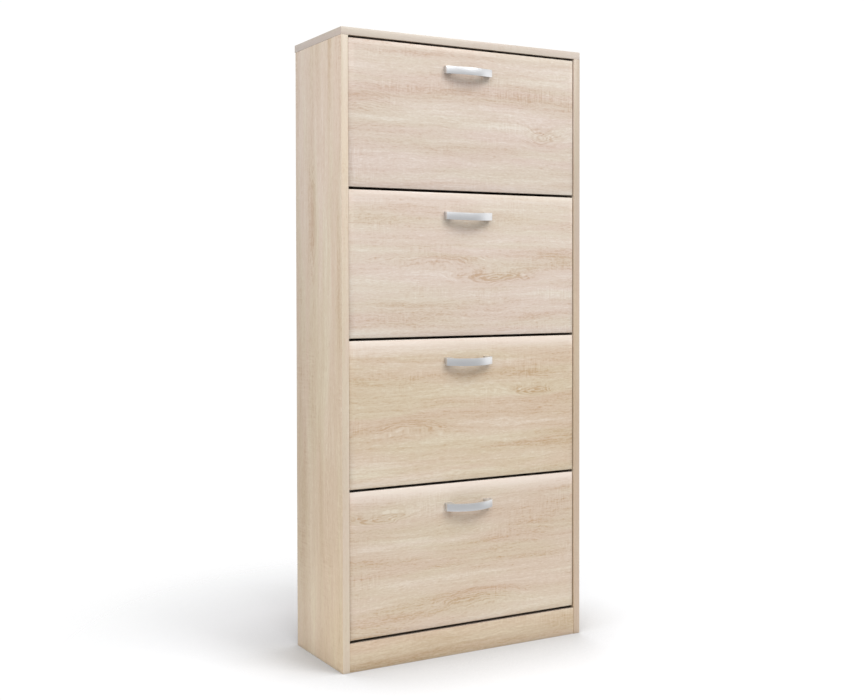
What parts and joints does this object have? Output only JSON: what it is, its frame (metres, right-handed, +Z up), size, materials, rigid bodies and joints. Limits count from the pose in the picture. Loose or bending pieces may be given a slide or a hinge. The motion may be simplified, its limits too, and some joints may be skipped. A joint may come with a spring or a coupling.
{
  "type": "shoe cabinet",
  "caption": "Tall, narrow shoe cabinet in light oak finish. Stacked tip-out flaps with bow handles carry shoe holders and turn on side pins near their lower edges.",
  "frame": {"origin": "at floor level, in the middle of the whole box in X and Y, handles included", "axes": "+X to the right seen from the front, +Y to the back (the wall side), +Z up"},
  "size_m": [0.6, 0.265, 1.33],
  "materials": {
    "oak_board": "light oak board, satin, fine grain",
    "oak_front": "light oak flap front, satin, grain across, face sloped softly to its edges",
    "holder_board": "light oak thin board, satin",
    "back_sheet": "thin fibreboard, white on the inside, raw brown on the outside",
    "strip_plastic": "white plastic strip",
    "fitting_plastic": "pale grey moulded plastic, satin",
    "satin_silver": "satin silver, finely brushed",
    "zinc_screw": "zinc plated steel"
  },
  "bodies": {
    "carcass": {"side_panel_left": "oak_board", "side_panel_right": "oak_board", "top_panel": "oak_board", "bottom_panel": "oak_board", "plinth": "oak_board", "wall_rail": "oak_board", "cross_rail_1": "oak_board", "cross_rail_2": "oak_board", "cross_rail_3": "oak_board", "back_sheet_lower": "back_sheet", "back_sheet_upper": "back_sheet", "back_joining_strip": "strip_plastic", "bearing_1_left": "fitting_plastic", "bearing_1_right": "fitting_plastic", "bearing_2_left": "fitting_plastic", "bearing_2_right": "fitting_plastic", "bearing_3_left": "fitting_plastic", "bearing_3_right": "fitting_plastic", "bearing_4_left": "fitting_plastic", "bearing_4_right": "fitting_plastic"},
    "flap_1": {"flap_1_front": "oak_front", "flap_1_handle": "satin_silver", "flap_1_handle_screw_left": "zinc_screw", "flap_1_handle_screw_right": "zinc_screw", "flap_1_bracket_left": "fitting_plastic", "flap_1_bracket_right": "fitting_plastic", "flap_1_front_shelf": "holder_board", "flap_1_rear_shelf": "holder_board", "flap_1_divider": "holder_board", "flap_1_rear_wall": "holder_board"},
    "flap_2": {"flap_2_front": "oak_front", "flap_2_handle": "satin_silver", "flap_2_handle_screw_left": "zinc_screw", "flap_2_handle_screw_right": "zinc_screw", "flap_2_bracket_left": "fitting_plastic", "flap_2_bracket_right": "fitting_plastic", "flap_2_front_shelf": "holder_board", "flap_2_rear_shelf": "holder_board", "flap_2_divider": "holder_board", "flap_2_rear_wall": "holder_board"},
    "flap_3": {"flap_3_front": "oak_front", "flap_3_handle": "satin_silver", "flap_3_handle_screw_left": "zinc_screw", "flap_3_handle_screw_right": "zinc_screw", "flap_3_bracket_left": "fitting_plastic", "flap_3_bracket_right": "fitting_plastic", "flap_3_front_shelf": "holder_board", "flap_3_rear_shelf": "holder_board", "flap_3_divider": "holder_board", "flap_3_rear_wall": "holder_board"},
    "flap_4": {"flap_4_front": "oak_front", "flap_4_handle": "satin_silver", "flap_4_handle_screw_left": "zinc_screw", "flap_4_handle_screw_right": "zinc_screw", "flap_4_bracket_left": "fitting_plastic", "flap_4_bracket_right": "fitting_plastic", "flap_4_front_shelf": "holder_board", "flap_4_rear_shelf": "holder_board", "flap_4_divider": "holder_board", "flap_4_rear_wall": "holder_board"}
  },
  "joints": [
    {"name": "flap_1_tilt", "type": "hinge", "parent": "carcass", "child": "flap_1", "pos_m": [0, -0.0835, 1.0594], "axis": [1, 0, 0], "range_deg": [0, 48]},
    {"name": "flap_2_tilt", "type": "hinge", "parent": "carcass", "child": "flap_2", "pos_m": [0, -0.0835, 0.7464], "axis": [1, 0, 0], "range_deg": [0, 48]},
    {"name": "flap_3_tilt", "type": "hinge", "parent": "carcass", "child": "flap_3", "pos_m": [0, -0.0835, 0.4334], "axis": [1, 0, 0], "range_deg": [0, 48]},
    {"name": "flap_4_tilt", "type": "hinge", "parent": "carcass", "child": "flap_4", "pos_m": [0, -0.0835, 0.1204], "axis": [1, 0, 0], "range_deg": [0, 48]}
  ]
}
